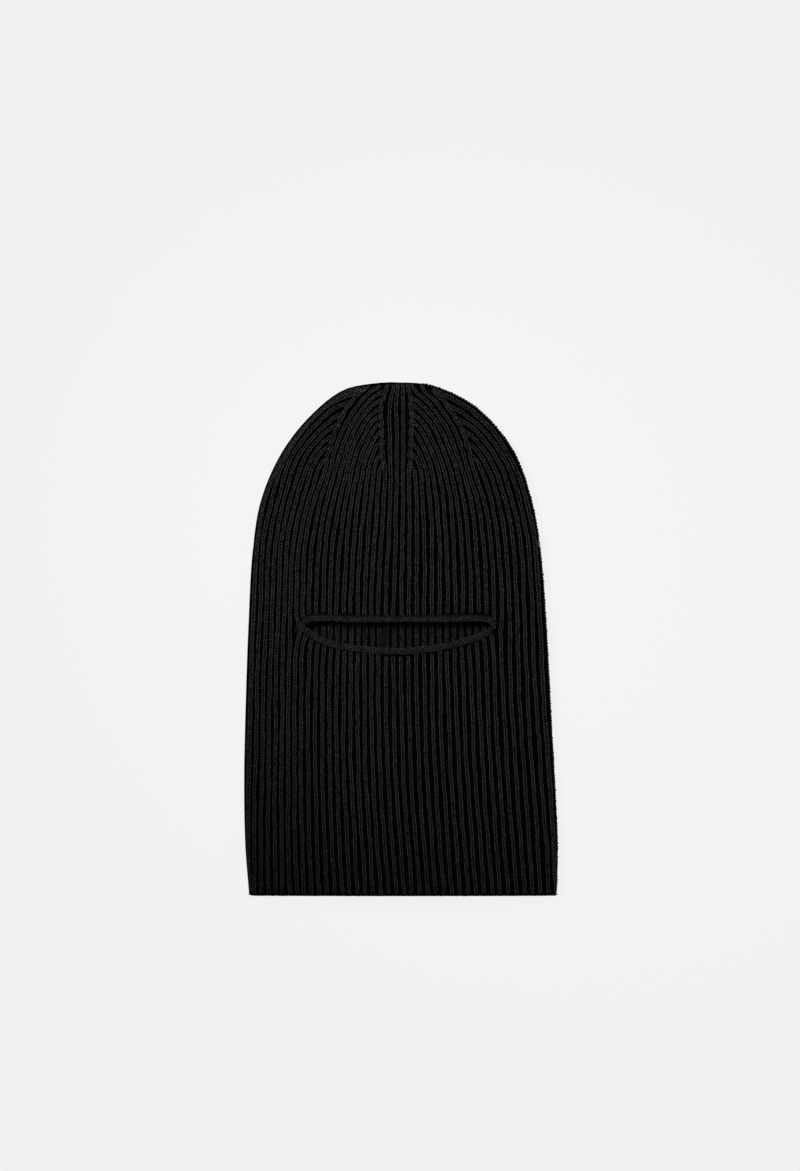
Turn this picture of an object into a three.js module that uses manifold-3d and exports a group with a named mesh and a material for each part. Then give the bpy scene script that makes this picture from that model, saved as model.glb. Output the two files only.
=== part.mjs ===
// Knitted one-hole balaclava, lying flat on its back.
// Millimetres. +Z points up out of the face, +Y towards the crown, +X to the right of the face.
// The rib fabric is one fully fashioned panel, closed by a seam down the middle of the back.
import * as THREE from 'three';
import { mergeVertices } from 'three/addons/utils/BufferGeometryUtils.js';
import Module from 'manifold-3d';

// Driving dimensions of the garment.
const FABRIC = 4.2; // thickness of the 1x1 rib fabric
const FOLD_RADIUS = 6.6; // outside radius of the fold between front and back
const LOFT = 7.5; // rise of the front layer from the folds to its middle
const LOFT_POWER = 2.5; // how quickly the front levels out away from the folds
const HEM_Y = -192.5; // lowest edge, where the neck opens
const SPINE_X = -1.5; // line that the left and right halves meet on
const CROWN_CENTRE_Y = 70; // the crown's gores fan out around this height
const GAP = 0.3; // space left between touching pieces

// Outline of the garment as it lies, from the left hem corner over the crown to the right one.
const OUTLINE = [
  [-114.0, HEM_Y],
  [-116.9, -155],
  [-117.75, -105],
  [-116.6, -50],
  [-114.5, 10],
  [-111.3, 66],
  [-105.0, 104],
  [-89.3, 140],
  [-67.2, 168],
  [-43.4, 186.5],
  [-23.0, 191.2],
  [0, 192.5],
  [19.5, 191.1],
  [35.4, 186.0],
  [58.5, 172.4],
  [84.2, 142],
  [98.4, 104],
  [105.0, 66],
  [109.4, 10],
  [112.6, -50],
  [115.6, -105],
  [117.9, -155],
  [117.1, HEM_Y],
];

// Neck edge.
const BIND_OFF_HEIGHT = 1.6;
const BIND_OFF_THICKNESS = 3.6;

// Eye opening: centre lines of the two tubular bands that finish it.
const UPPER_TRIM_RADIUS = 2.2;
const LOWER_TRIM_RADIUS = 2.45;
const UPPER_TRIM_Y = 14.4;
const UPPER_TRIM_PATH = [
  [-74.4, 7.3],
  [-73.4, 11.6],
  [-69.5, UPPER_TRIM_Y],
  [-35, UPPER_TRIM_Y],
  [0, UPPER_TRIM_Y],
  [33, UPPER_TRIM_Y],
  [64, UPPER_TRIM_Y - 0.2],
  [68.8, 12],
  [71.8, 7.9],
];
const LOWER_TRIM_PATH = [
  [-69.2, 5.0],
  [-61.3, -0.3],
  [-50.3, -4.1],
  [-28.3, -8.0],
  [2.0, -9.1],
  [28.5, -6.3],
  [56.0, 0.8],
  [66.8, 5.9],
];
const LINKING_RADIUS = 0.5;
const LINKING_SIDE = 2.6; // from a band's centre line to its linking yarn, in plan
const LINKING_SINK = 0.3; // the linking yarn's centre lies this far under the rib's face

// Tacks that pinch the bands together at the corners of the eye opening.
const TACK_RADIUS = 1.1;
const TACK_LENGTH = 2.8;
const LEFT_TACK = [-78.6, 6.8];
const RIGHT_TACK = [76.0, 7.4];

// Seam down the back, with its ridge on the inside.
const SEAM_X = -13.5;
const SEAM_WIDTH = 3.0;
const SEAM_RIDGE = 1.2;
const SEAM_TOP_Y = 184;

// Draw yarn that gathers the crown's last stitches, inside the crown.
const DRAW_YARN_RADIUS = 0.8;
const DRAW_LOOP_RADIUS = 4.5;
const DRAW_LOOP_Y = 172;
const DRAW_LOOP_TURNS = 1.5;

// Fineness of the faceted surfaces.
const OUTLINE_STEPS = 440;
const SIDE_ROWS = 12;
const CROWN_SPOKES = 24;
const FOLD_STEPS = 4;
const PANEL_STEPS = [0.08, 0.2, 0.4, 0.68, 1]; // fractions of the way from fold to spine
const TRIM_SIDES = 10;
const TRIM_STEPS = 44;
const CUT_STEPS = 36;
const YARN_SIDES = 8;
const LINKING_ROUTE_STEPS = 30;
const LINKING_STEPS = 40;
const DRAW_TURN_STEPS = 12;
const DRAW_STEPS = 36;
const TACK_CAP_STEPS = 3;
const TACK_SIDES = 10;

// Sizes that only need to be large or small enough.
const PAST = 5; // how far a cutter runs past what it cuts
const CUTTER_WIDTH = 400;
const CUTTER_DEPTH = 100;
const BELOW_HEM = 40;
const TINY = 1e-6; // lengths under this count as nothing
const SAME_POINT = 1e-4; // vertices this close are one

const wasm = await Module();
wasm.setup();

const toPath = (points) => points.map(([x, y]) => new THREE.Vector3(x, y, 0));
const outline = new THREE.CatmullRomCurve3(toPath(OUTLINE), false, 'centripetal').getPoints(OUTLINE_STEPS);

// ---- Solids from surfaces ----

function closedGeometry(triangles) {
  const positions = [];
  for (const [a, b, c] of triangles) {
    const flat = a.distanceTo(b) < TINY || b.distanceTo(c) < TINY || c.distanceTo(a) < TINY;
    if (!flat) {
      positions.push(...a.toArray(), ...b.toArray(), ...c.toArray());
    }
  }
  const geometry = new THREE.BufferGeometry();
  geometry.setAttribute('position', new THREE.Float32BufferAttribute(positions, 3));
  return geometry;
}

function toSolid(geometry) {
  const bare = geometry.clone();
  bare.deleteAttribute('normal');
  bare.deleteAttribute('uv');
  const merged = mergeVertices(bare, SAME_POINT);
  return new wasm.Manifold(new wasm.Mesh({
    numProp: 3,
    vertProperties: new Float32Array(merged.attributes.position.array),
    triVerts: new Uint32Array(merged.index.array),
  }));
}

function toGeometry(solid) {
  const mesh = solid.getMesh();
  const geometry = new THREE.BufferGeometry();
  geometry.setAttribute('position', new THREE.BufferAttribute(new Float32Array(mesh.vertProperties), 3));
  geometry.setIndex(new THREE.BufferAttribute(new Uint32Array(mesh.triVerts), 1));
  geometry.computeVertexNormals();
  return geometry;
}

// ---- Shape of the garment as it lies ----

// Distance from a point inside the outline to the outline, along a unit direction.
function distanceToOutline(root, direction) {
  for (let i = 1; i < outline.length; i += 1) {
    const edge = outline[i].clone().sub(outline[i - 1]);
    const offset = outline[i - 1].clone().sub(root);
    const det = direction.x * edge.y - direction.y * edge.x;
    const along = (offset.x * edge.y - offset.y * edge.x) / det;
    const within = (offset.x * direction.y - offset.y * direction.x) / det;
    if (along > 0 && within >= 0 && within <= 1) {
      return along;
    }
  }
  throw new Error('the point lies outside the outline');
}

// A spoke runs from the spine out to the outline; the panel's rows follow it.
function makeSpoke(rootY, direction) {
  const root = new THREE.Vector3(SPINE_X, rootY, 0);
  return { root, direction, reach: distanceToOutline(root, direction) };
}

function spokeThrough(x, y) {
  const offset = new THREE.Vector3(x - SPINE_X, Math.max(0, y - CROWN_CENTRE_Y), 0);
  const direction = offset.lengthSq() > 0 ? offset.clone().normalize() : new THREE.Vector3(1, 0, 0);
  const spoke = makeSpoke(Math.min(y, CROWN_CENTRE_Y), direction);
  return { ...spoke, inset: spoke.reach - offset.length() };
}

function allSpokes() {
  const spokes = [];
  const rowY = (row) => HEM_Y + ((CROWN_CENTRE_Y - HEM_Y) * row) / SIDE_ROWS;
  for (let row = 0; row < SIDE_ROWS; row += 1) {
    spokes.push(makeSpoke(rowY(row), new THREE.Vector3(-1, 0, 0)));
  }
  for (let step = 0; step <= CROWN_SPOKES; step += 1) {
    const angle = Math.PI * (1 - step / CROWN_SPOKES);
    spokes.push(makeSpoke(CROWN_CENTRE_Y, new THREE.Vector3(Math.cos(angle), Math.sin(angle), 0)));
  }
  for (let row = SIDE_ROWS - 1; row >= 0; row -= 1) {
    spokes.push(makeSpoke(rowY(row), new THREE.Vector3(1, 0, 0)));
  }
  return spokes;
}

// Height of the front's outer face at a distance in from the outline.
function faceHeight(inset, reach) {
  const inward = Math.max(0, (inset - FOLD_RADIUS) / (reach - FOLD_RADIUS));
  return 2 * FOLD_RADIUS + LOFT * (1 - (1 - inward) ** LOFT_POWER);
}

function faceHeightAt(x, y) {
  const { inset, reach } = spokeThrough(x, y);
  return faceHeight(inset, reach);
}

// Points of the front (side +1) or back (side -1) face on one spoke, from the fold to the spine.
// depth is how far inside the garment's outer face the surface lies, hemDrop how far past the hem it runs.
function spokePoints(spoke, side, depth, hemDrop) {
  const stations = [];
  for (let step = 0; step <= FOLD_STEPS; step += 1) {
    const angle = (Math.PI / 2) * (step / FOLD_STEPS);
    const radius = FOLD_RADIUS - depth;
    stations.push([FOLD_RADIUS - radius * Math.cos(angle), FOLD_RADIUS + side * radius * Math.sin(angle)]);
  }
  for (const fraction of PANEL_STEPS) {
    const inset = FOLD_RADIUS + (spoke.reach - FOLD_RADIUS) * fraction;
    stations.push([inset, side > 0 ? faceHeight(inset, spoke.reach) - depth : depth]);
  }
  return stations.map(([inset, z]) => {
    const point = spoke.root.clone().addScaledVector(spoke.direction, spoke.reach - inset);
    return point.setY(point.y > HEM_Y + TINY ? point.y : HEM_Y - hemDrop).setZ(z);
  });
}

// A closed pillow that follows the garment at a depth under its outer face, cut square at the hem.
function pillow(depth, hemDrop) {
  const spokes = allSpokes();
  const front = spokes.map((spoke) => spokePoints(spoke, 1, depth, hemDrop));
  const back = spokes.map((spoke) => spokePoints(spoke, -1, depth, hemDrop));
  const triangles = [];
  const quad = (a, b, c, d) => triangles.push([a, b, c], [a, c, d]);
  const last = spokes.length - 1;
  for (let j = 0; j + 1 < front[0].length; j += 1) {
    for (let i = 0; i < last; i += 1) {
      quad(front[i][j], front[i][j + 1], front[i + 1][j + 1], front[i + 1][j]);
      quad(back[i + 1][j], back[i + 1][j + 1], back[i][j + 1], back[i][j]);
    }
    quad(back[0][j], back[0][j + 1], front[0][j + 1], front[0][j]);
    quad(front[last][j], front[last][j + 1], back[last][j + 1], back[last][j]);
  }
  return closedGeometry(triangles);
}

// ---- Tubes, bands and yarns ----

function tube(path, radius, sides, steps) {
  const circle = new THREE.EllipseCurve(0, 0, radius, radius).getPoints(sides);
  const section = new THREE.Shape(circle.slice(0, sides));
  return new THREE.ExtrudeGeometry(section, { steps, bevelEnabled: false, extrudePath: path });
}

// Curve through plan points, laid on the face and sunk under it.
function curveOnFace(planPoints, sink) {
  const points = planPoints.map(([x, y]) => new THREE.Vector3(x, y, faceHeightAt(x, y) - sink));
  return new THREE.CatmullRomCurve3(points, false, 'centripetal');
}

// Plan points beside a plan curve, to its left (positive) or right (negative) going along it.
function planBeside(planPoints, distance, steps) {
  const curve = new THREE.CatmullRomCurve3(toPath(planPoints), false, 'centripetal');
  const beside = [];
  for (let step = 0; step <= steps; step += 1) {
    const at = curve.getPointAt(step / steps);
    const along = curve.getTangentAt(step / steps);
    beside.push([at.x - along.y * distance, at.y + along.x * distance]);
  }
  return beside;
}

function trimGeometry(planPoints, radius) {
  return tube(curveOnFace(planPoints, FABRIC / 2), radius, TRIM_SIDES, TRIM_STEPS);
}

function linkingGeometry(planPoints, side, radius) {
  const route = planBeside(planPoints, side * LINKING_SIDE, LINKING_ROUTE_STEPS);
  return tube(curveOnFace(route, LINKING_SINK), radius, YARN_SIDES, LINKING_STEPS);
}

function tackGeometry([x, y], radius) {
  const capsule = new THREE.CapsuleGeometry(radius, TACK_LENGTH, TACK_CAP_STEPS, TACK_SIDES);
  return capsule.translate(x, y, faceHeightAt(x, y) - TACK_RADIUS);
}

// ---- The pieces ----

// The same plan points with both ends moved out along the path.
function withLongerEnds(planPoints, extra) {
  const path = toPath(planPoints);
  const last = path.length - 1;
  const outward = (end, next) => end.clone().sub(next).normalize().multiplyScalar(extra);
  path[0].add(outward(path[0], path[1]));
  path[last].add(outward(path[last], path[last - 1]));
  return path.map(({ x, y }) => [x, y]);
}

// Room for the eye opening and its bands, through the front layer only.
function eyeOpeningCutter() {
  const upper = planBeside(withLongerEnds(UPPER_TRIM_PATH, 2 * GAP), UPPER_TRIM_RADIUS + GAP, CUT_STEPS);
  const lower = planBeside(withLongerEnds(LOWER_TRIM_PATH, 2 * GAP), -LOWER_TRIM_RADIUS - GAP, CUT_STEPS);
  const loop = [...upper, ...lower.reverse()].map(([x, y]) => new THREE.Vector2(x, y));
  const middleOfGarment = FOLD_RADIUS + LOFT / 2;
  return new THREE.ExtrudeGeometry(new THREE.Shape(loop), { depth: 3 * FOLD_RADIUS, bevelEnabled: false })
    .translate(0, 0, middleOfGarment);
}

function seamGeometry(width, bottom, top, startY) {
  const length = SEAM_TOP_Y - startY;
  return new THREE.BoxGeometry(width, length, top - bottom)
    .translate(SEAM_X, startY + length / 2, (bottom + top) / 2);
}

function headPanelGeometry() {
  const hem = HEM_Y + BIND_OFF_HEIGHT + GAP;
  const belowHem = new THREE.BoxGeometry(CUTTER_WIDTH, BELOW_HEM, CUTTER_DEPTH);
  belowHem.translate(0, hem - BELOW_HEM / 2, 0);
  const cutters = [
    pillow(FABRIC, PAST),
    belowHem,
    eyeOpeningCutter(),
    seamGeometry(SEAM_WIDTH + 2 * GAP, -PAST, FOLD_RADIUS + 1, HEM_Y - PAST),
    linkingGeometry(UPPER_TRIM_PATH, 1, LINKING_RADIUS + GAP),
    linkingGeometry(LOWER_TRIM_PATH, -1, LINKING_RADIUS + GAP),
    tackGeometry(LEFT_TACK, TACK_RADIUS + GAP),
    tackGeometry(RIGHT_TACK, TACK_RADIUS + GAP),
  ];
  const panel = cutters.reduce((solid, cutter) => solid.subtract(toSolid(cutter)), toSolid(pillow(0, 0)));
  return toGeometry(panel);
}

function neckBindOffGeometry() {
  const margin = (FABRIC - BIND_OFF_THICKNESS) / 2;
  const slab = new THREE.BoxGeometry(CUTTER_WIDTH, BIND_OFF_HEIGHT, CUTTER_DEPTH);
  slab.translate(0, HEM_Y + BIND_OFF_HEIGHT / 2, 0);
  const ring = toSolid(pillow(margin, 0))
    .subtract(toSolid(pillow(FABRIC - margin, PAST)))
    .intersect(toSolid(slab));
  return toGeometry(ring);
}

function crownDrawYarnGeometry() {
  const points = [];
  const level = FABRIC + SEAM_RIDGE + GAP + DRAW_YARN_RADIUS;
  const rise = 2 * DRAW_YARN_RADIUS + GAP;
  const steps = Math.round(DRAW_LOOP_TURNS * DRAW_TURN_STEPS);
  for (let step = 0; step <= steps; step += 1) {
    const turn = step / DRAW_TURN_STEPS;
    const angle = turn * 2 * Math.PI;
    const x = DRAW_LOOP_RADIUS * Math.cos(angle);
    const y = DRAW_LOOP_Y + DRAW_LOOP_RADIUS * Math.sin(angle);
    points.push(new THREE.Vector3(x, y, level + rise * turn));
  }
  const route = new THREE.CatmullRomCurve3(points, false, 'centripetal');
  return tube(route, DRAW_YARN_RADIUS, YARN_SIDES, DRAW_STEPS);
}

// ---- Materials ----

function knitMaterial(color) {
  return new THREE.MeshStandardMaterial({ color, roughness: 0.95, metalness: 0 });
}

const ribYarn = knitMaterial(0x1b1b1d);
const trimYarn = knitMaterial(0x202022);
const linkingYarn = knitMaterial(0x101012);

function piece(name, geometry, material) {
  const mesh = new THREE.Mesh(geometry, material);
  mesh.name = name;
  return mesh;
}

const SEAM_START_Y = HEM_Y + BIND_OFF_HEIGHT + GAP;

const balaclava = new THREE.Group();
balaclava.add(
  piece('head_panel', headPanelGeometry(), ribYarn),
  piece('back_seam', seamGeometry(SEAM_WIDTH, 0, FABRIC + SEAM_RIDGE, SEAM_START_Y), linkingYarn),
  piece('neck_bind_off', neckBindOffGeometry(), ribYarn),
  piece('upper_eye_trim', trimGeometry(UPPER_TRIM_PATH, UPPER_TRIM_RADIUS), trimYarn),
  piece('lower_eye_trim', trimGeometry(LOWER_TRIM_PATH, LOWER_TRIM_RADIUS), trimYarn),
  piece('upper_trim_linking', linkingGeometry(UPPER_TRIM_PATH, 1, LINKING_RADIUS), linkingYarn),
  piece('lower_trim_linking', linkingGeometry(LOWER_TRIM_PATH, -1, LINKING_RADIUS), linkingYarn),
  piece('left_corner_tack', tackGeometry(LEFT_TACK, TACK_RADIUS), linkingYarn),
  piece('right_corner_tack', tackGeometry(RIGHT_TACK, TACK_RADIUS), linkingYarn),
  piece('crown_draw_yarn', crownDrawYarnGeometry(), linkingYarn),
);

export default balaclava;
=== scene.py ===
"""Looks of the knitted balaclava: every stitch of its 1x1 rib, its bands, seam, edge and yarns.

Shapes are worked out in millimetres in the CAD frame and turned into metres when a mesh is made.
The rib is built as wales, columns of interlocked yarn loops that follow guide ribs over the cloth.
"""

import bpy
import numpy as np
from mathutils import Euler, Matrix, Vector


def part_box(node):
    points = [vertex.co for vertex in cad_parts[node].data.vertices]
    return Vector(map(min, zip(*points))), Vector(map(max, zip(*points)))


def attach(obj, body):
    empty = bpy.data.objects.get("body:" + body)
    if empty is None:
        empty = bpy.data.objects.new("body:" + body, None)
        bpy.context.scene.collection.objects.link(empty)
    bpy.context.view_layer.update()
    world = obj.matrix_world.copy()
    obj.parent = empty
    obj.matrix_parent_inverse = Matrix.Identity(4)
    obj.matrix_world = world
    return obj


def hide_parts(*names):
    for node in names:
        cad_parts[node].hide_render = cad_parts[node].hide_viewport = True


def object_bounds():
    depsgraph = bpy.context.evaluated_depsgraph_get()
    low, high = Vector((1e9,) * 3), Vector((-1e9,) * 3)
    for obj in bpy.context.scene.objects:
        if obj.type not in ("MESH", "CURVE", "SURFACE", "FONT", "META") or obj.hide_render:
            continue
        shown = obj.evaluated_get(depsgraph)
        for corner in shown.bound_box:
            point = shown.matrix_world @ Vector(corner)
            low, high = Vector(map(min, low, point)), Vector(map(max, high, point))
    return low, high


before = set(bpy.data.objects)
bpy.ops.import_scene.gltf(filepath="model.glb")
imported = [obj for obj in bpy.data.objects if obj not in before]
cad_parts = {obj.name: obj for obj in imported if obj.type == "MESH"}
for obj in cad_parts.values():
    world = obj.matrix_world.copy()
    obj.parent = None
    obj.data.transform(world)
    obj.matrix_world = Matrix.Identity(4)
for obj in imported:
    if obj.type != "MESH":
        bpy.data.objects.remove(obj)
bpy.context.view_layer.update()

MM = 0.001
RANDOM = np.random.default_rng(1971)

# ---- Garment sizes, as in the CAD model; the eye bands' ends are drawn closer together ----
FABRIC = 4.2
FOLD_RADIUS = 6.6
LOFT = 7.5
LOFT_POWER = 2.5
HEM_Y = -192.5
SPINE_X = -1.5
CROWN_CENTRE_Y = 70
SEAM_X = -13.5
OUTLINE = [
    (-114.0, HEM_Y), (-116.9, -155), (-117.75, -105), (-116.6, -50), (-114.5, 10), (-111.3, 66),
    (-105.0, 104), (-89.3, 140), (-67.2, 168), (-43.4, 186.5), (-23.0, 191.2), (0, 192.5),
    (19.5, 191.1), (35.4, 186.0), (58.5, 172.4), (84.2, 142), (98.4, 104), (105.0, 66),
    (109.4, 10), (112.6, -50), (115.6, -105), (117.9, -155), (117.1, HEM_Y),
]
UPPER_TRIM_RADIUS = 2.2
LOWER_TRIM_RADIUS = 2.45
UPPER_TRIM = [
    (-74.4, 7.3), (-73.4, 11.6), (-69.5, 14.4), (-35, 14.4), (0, 14.4),
    (33, 14.4), (64, 14.2), (68.2, 12), (70.6, 8.3),
]
LOWER_TRIM = [
    (-71.8, 6.6), (-69.0, 4.9), (-61.3, -0.3), (-50.3, -4.1), (-28.3, -8.0),
    (2.0, -9.1), (28.5, -6.3), (56.0, 0.8), (67.6, 6.2),
]
LINKING_SIDE = 2.6
LEFT_TACK = (-78.6, 6.8)
RIGHT_TACK = (76.0, 7.4)
LEFT_CORNER_X = -75.6
RIGHT_CORNER_X = 73.2

# ---- Knit sizes ----
HALF_FABRIC = FABRIC / 2
FOLD_MID_RADIUS = FOLD_RADIUS - HALF_FABRIC
QUARTER_FOLD = FOLD_MID_RADIUS * np.pi / 2
COURSE = 2.2
CROWN_COURSE = 2.46
YARN_RADIUS = 0.37
STEP = 0.2
WALE_PITCH = 5.6
HALF_PITCH = 2.4
EDGE_ROOM = 2.6
LEAST_ROOM = 1.7
MOST_ROOM = 3.4
# The height of a course at some heights of the garment, in the middle of the face and at its sides.
COURSES_IN_MIDDLE = [(-136, 2.03), (-54, 1.96), (90, 1.98), (130, 2.2)]
COURSES_AT_SIDE = [(-136, 2.1), (-54, 2.2), (78, CROWN_COURSE)]
# How much hand-knitted stitches differ: their size, slant, place, height and thickness.
UNEVEN_SIZE = 0.08
UNEVEN_SLANT = 0.07
UNEVEN_ALONG = 0.05
UNEVEN_ACROSS = 0.07
UNEVEN_OUT = 0.06
UNEVEN_YARN = 0.05

# ---- Guide ribs: where chosen wales run on the front, from the hem up to the crown's top ----
HEM_BAND = HEM_Y + 0.7
RIB_TOP_Y = 192.45
GUIDES = {
    1: [(-110.4, HEM_Y), (-110.3, -150), (-109.1, -90), (-107.6, -20), (-105.4, 30), (-103.1, 74),
        (-97.1, 104), (-91.1, 126), (-84.4, 141), (-73.9, 156), (-60.4, 171), (-49.1, 178.5),
        (-34.9, 184.5), (-25.9, 190), (-24, 194)],
    8: [(-72.9, HEM_Y), (-74.4, -150), (-75.2, -90), (-74.8, -20), (-74.0, 30), (-71.6, 74),
        (-64.9, 104), (-57.4, 126), (-53.6, 141), (-48.4, 156), (-40.9, 171), (-35.6, 178.5),
        (-30.4, 184.5), (-23.6, 190), (-21, 194)],
    19: [(-9.2, HEM_Y), (-12.4, -150), (-16.1, -90), (-16.9, -20), (-16.9, 30), (-14.6, 74),
         (-13.1, 104), (-12.0, 126), (-13.0, 141), (-13.4, 156), (-13.9, 171), (-12.9, 178.5),
         (-10.9, 184.5), (-9.6, 190), (-9.2, 194)],
    23: [(14.2, HEM_Y), (10.9, -150), (7.1, -90), (5.7, -20), (5.8, 30), (6.6, 74),
         (6.2, 104), (5.6, 126), (6.4, 141), (7.1, 156), (7.1, 171), (6.4, 178.5),
         (5.6, 184.5), (5.2, 190), (5.0, 194)],
    34: [(80.9, HEM_Y), (77.4, -150), (73.1, -90), (70.1, -20), (70.1, 30), (67.1, 74),
         (62.6, 104), (55.1, 126), (50.6, 141), (45.4, 156), (36.4, 171), (31.1, 178.5),
         (25.9, 184.5), (24.0, 190), (23, 194)],
    40: [(116.8, HEM_Y), (115.2, -150), (110.6, -90), (106.1, -20), (103.9, 30), (100.9, 74),
         (94.1, 104), (87.4, 126), (79.1, 141), (69.4, 156), (53.6, 171), (41.6, 178.5),
         (31.0, 184.5), (24.0, 190), (22, 194)],
}
# How far inside the outline the wale beside the left fold runs, by height.
LEFT_FOLD_INSET = [(HEM_Y, 0.4), (-150, 1.8), (-90, 3.2), (-20, 2.7), (30, 3.0), (74, 2.1), (192, 2.0)]
# A gore's wales run beside its lead guide and end, one by one, on its column, where they are decreased.
# spread says how much the wales open out from the gore's start to the crown's top.
CROWN_START_Y = 126
GORES = [
    {"lead": 1, "column": 8, "spread": [(126, 0), (141, 0.09), (156, 0.3), (171, 0.79), (190, 1.2)]},
    {"lead": 8, "column": 19, "spread": [(126, 0), (148, 0.14), (163, 0.22), (178, 0.53), (190, 0.9)]},
    {"lead": 34, "column": 23, "spread": [(126, 0), (148, 0.17), (163, 0.23), (178, 0.38), (190, 0.9)]},
    {"lead": 40, "column": 34, "spread": [(126, 0), (141, 0.02), (156, 0.25), (171, 0.75), (190, 1.2)]},
]
COLUMNS = (8, 19, 23, 34)
CENTRE_WALES = (20, 21, 22)
LAST_WALE = 40
LEFT_FOLD_END_X = -26
RIGHT_FOLD_END_X = 12
LEFT_LEAD_END_Y = 189.0
RIGHT_LEAD_END_Y = 188.5
REACHES_TOP_Y = 191
MERGE_DISTANCE = 2.3
MERGE_BEFORE = 7.0
MERGE_AFTER = 1.5
MERGE_SHARE = 0.9
EASE_IN = 20

# ---- How the eye opening draws the ribs beside it ----
CORNER_Y = 7
CORNER_REACH_Y = 9.0
CORNER_REACH_X = 3.2
LEFT_PULL = 2.3
RIGHT_PULL = 0.7
FAN_PULL = 2.2
FAN_REACH = 13.0
CLEAR_BELOW_BAND = 0.6
CLEAR_ABOVE_BAND = 0.8
CLEAR_OF_RIGHT_CORNER = 1.6

# ---- The back's inner face shows behind the eyes and at the neck ----
BEHIND_EYES = (-24, 26)
NECK_TOP_Y = -140

# ---- One stitch: half a yarn loop, from the middle of the valley up its leg to its head ----
# Each point: along the wale (courses), across (mm), across (share of the half pitch), out of the cloth (mm).
RIB_STITCH = [
    (-0.10, 0.0, 1.0, -1.70),
    (-0.12, 0.0, 0.45, -1.70),
    (-0.12, 0.56, 0.10, -0.85),
    (-0.02, 0.60, 0.0, 0.0),
    (0.12, 0.46, 0.0, 1.08),
    (0.36, 0.82, 0.0, 1.64),
    (0.68, 1.09, 0.0, 1.60),
    (0.94, 1.02, 0.0, 0.85),
    (1.04, 0.50, 0.0, -0.05),
    (1.05, 0.0, 0.0, -0.25),
]
SHORT_STITCH = RIB_STITCH[3:]
TRIM_STITCH = [
    (-0.14, 0.0, 0.80, -0.40),
    (-0.04, 0.0, 0.36, -0.15),
    (0.08, 0.0, 0.20, 0.36),
    (0.30, 0.0, 0.48, 0.66),
    (0.54, 0.0, 0.82, 0.66),
    (0.70, 0.0, 0.84, 0.16),
    (0.80, 0.0, 0.50, -0.25),
    (0.86, 0.0, 0.0, -0.35),
]
JERSEY_STITCH = [
    (-0.05, 0.40, 0.9, -0.20),
    (0.02, 0.50, 0.25, 0.10),
    (0.28, 0.50, 0.0, 0.42),
    (0.62, 0.86, 0.0, 0.56),
    (0.96, 1.22, 0.0, 0.48),
    (1.24, 0.98, 0.0, 0.14),
    (1.40, 0.0, 0.0, -0.05),
]
CHAIN_STITCH = [
    (0.05, 0.12, 0.0, -0.25),
    (0.30, 0.30, 0.0, 0.10),
    (0.70, 0.42, 0.0, 0.25),
    (1.05, 0.38, 0.0, 0.12),
    (1.25, 0.0, 0.0, -0.15),
]


# ---- Curves ----

def smooth_curve(points, per_span=24):
    """Centripetal Catmull-Rom curve through the points, as three.js draws it."""
    p = np.asarray(points, float)
    p = np.vstack([2 * p[0] - p[1], p, 2 * p[-1] - p[-2]])
    spans = []
    for a, b, c, d in zip(p[:-3], p[1:-2], p[2:-1], p[3:]):
        t0, t1, t2 = (np.sqrt(np.linalg.norm(v)) for v in (b - a, c - b, d - c))
        start = ((b - a) / t0 - (c - a) / (t0 + t1) + (c - b) / t1) * t1
        end = ((c - b) / t1 - (d - b) / (t1 + t2) + (d - c) / t2) * t1
        t = np.linspace(0, 1, per_span, endpoint=False)[:, None]
        hermite = (2 * t**3 - 3 * t**2 + 1) * b + (t**3 - 2 * t**2 + t) * start
        spans.append(hermite + (3 * t**2 - 2 * t**3) * c + (t**3 - t**2) * end)
    return np.vstack(spans + [p[-2]])


def unit(vectors):
    return vectors / np.maximum(np.linalg.norm(vectors, axis=-1, keepdims=True), 1e-9)


def rows(at, along, values):
    """Interpolates the rows of values, known at along, to the places at."""
    return np.stack([np.interp(at, along, column) for column in values.T], axis=-1)


def lengths_along(points):
    return np.concatenate([[0], np.cumsum(np.linalg.norm(np.diff(points, axis=0), axis=1))])


def smoothstep(value, low, high):
    t = np.clip((value - low) / (high - low), 0, 1)
    return t * t * (3 - 2 * t)


# ---- The cloth as it lies ----

OUTLINE_CURVE = smooth_curve(OUTLINE)
TOP_ROW = int(np.argmax(OUTLINE_CURVE[:, 1]))
LEFT_EDGE = OUTLINE_CURVE[: TOP_ROW + 1]
RIGHT_EDGE = OUTLINE_CURVE[TOP_ROW:][::-1]
CROWN_EDGE = OUTLINE_CURVE - (SPINE_X, CROWN_CENTRE_Y)
CROWN_EDGE = CROWN_EDGE[CROWN_EDGE[:, 1] > 0][::-1]
CROWN_ANGLES = np.arctan2(CROWN_EDGE[:, 1], CROWN_EDGE[:, 0])
CROWN_REACHES = np.linalg.norm(CROWN_EDGE, axis=1)


def edge_x(y, right):
    edge = RIGHT_EDGE if right else LEFT_EDGE
    return np.interp(y, edge[:, 1], edge[:, 0])


def reach_of(x, y):
    """Distance from the spine to the outline, along the spoke through a plan point."""
    across = x - SPINE_X
    up = np.maximum(y - CROWN_CENTRE_Y, 0)
    level = np.where(across < 0, SPINE_X - edge_x(y, False), edge_x(y, True) - SPINE_X)
    polar = np.interp(np.arctan2(up, across), CROWN_ANGLES, CROWN_REACHES)
    return np.where(up > 0, polar, level)


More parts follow.
